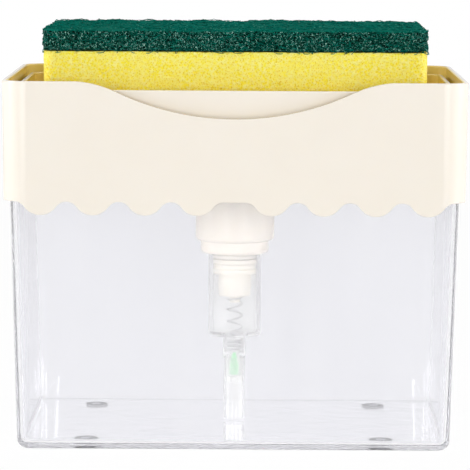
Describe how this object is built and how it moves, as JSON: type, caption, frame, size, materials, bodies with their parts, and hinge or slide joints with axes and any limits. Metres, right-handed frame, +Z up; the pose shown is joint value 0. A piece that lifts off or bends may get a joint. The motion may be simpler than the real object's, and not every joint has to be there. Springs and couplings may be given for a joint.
{
  "type": "soap pump caddy",
  "caption": "Clear soap tub under a cream collar with a scalloped skirt; pressing the sponge on the tray inside the collar pumps soap up into it.",
  "frame": {"origin": "under the middle of the tub, on the surface that the foot pads stand on", "axes": "+X along the long side, to the right as seen from the front; +Y towards the back, away from the finger dip; +Z up"},
  "size_m": [0.135, 0.095, 0.1231],
  "materials": {
    "clear_tub": "clear moulded polystyrene, polished",
    "foot_rubber": "dull moulded rubber",
    "cream_plastic": "moulded ABS, soft gloss",
    "yellow_foam": "open-cell foam",
    "green_scour": "bonded non-woven fibre",
    "gasket_rubber": "dull",
    "natural_plastic": "natural moulded polypropylene, translucent",
    "tube_plastic": "drawn polyethylene tube, translucent",
    "piston_plastic": "moulded polyethylene, satin",
    "spring_steel": "drawn stainless wire",
    "green_plastic": "moulded polypropylene",
    "ball_steel": "ground stainless ball"
  },
  "bodies": {
    "tub": {"container": "clear_tub", "foot_pads": "foot_rubber"},
    "collar": {"collar_tray": "cream_plastic", "closure_nut": "cream_plastic", "neck_gasket": "gasket_rubber", "pump_housing": "natural_plastic", "guide_bush": "cream_plastic", "dip_tube": "tube_plastic", "return_spring": "spring_steel"},
    "plunger": {"stem": "cream_plastic", "piston": "piston_plastic", "piston_rod": "piston_plastic"},
    "press_dish": {"press_tray": "cream_plastic"},
    "sponge": {"sponge_foam": "yellow_foam", "scour_pad": "green_scour"},
    "suction_valve": {"inlet_valve": "green_plastic"},
    "delivery_valve": {"outlet_ball": "ball_steel"}
  },
  "joints": [
    {"name": "collar_lift", "type": "slide", "parent": "tub", "child": "collar", "axis": [0, 0, 1], "range_m": [0, 0.08]},
    {"name": "press_stroke", "type": "slide", "parent": "collar", "child": "plunger", "axis": [0, 0, -1], "range_m": [0, 0.01], "stiffness_N_per_m": 600, "springref_m": -0.006, "deforming": ["return_spring"]},
    {"name": "press_tray_lift", "type": "slide", "parent": "plunger", "child": "press_dish", "axis": [0, 0, 1], "range_m": [0, 0.03]},
    {"name": "sponge_lift", "type": "slide", "parent": "press_dish", "child": "sponge", "axis": [0, 0, 1], "range_m": [0, 0.04]},
    {"name": "inlet_valve_lift", "type": "slide", "parent": "collar", "child": "suction_valve", "axis": [0, 0, 1], "range_m": [0, 0.0012]},
    {"name": "outlet_ball_lift", "type": "slide", "parent": "plunger", "child": "delivery_valve", "axis": [0, 0, 1], "range_m": [0, 0.0015]}
  ]
}
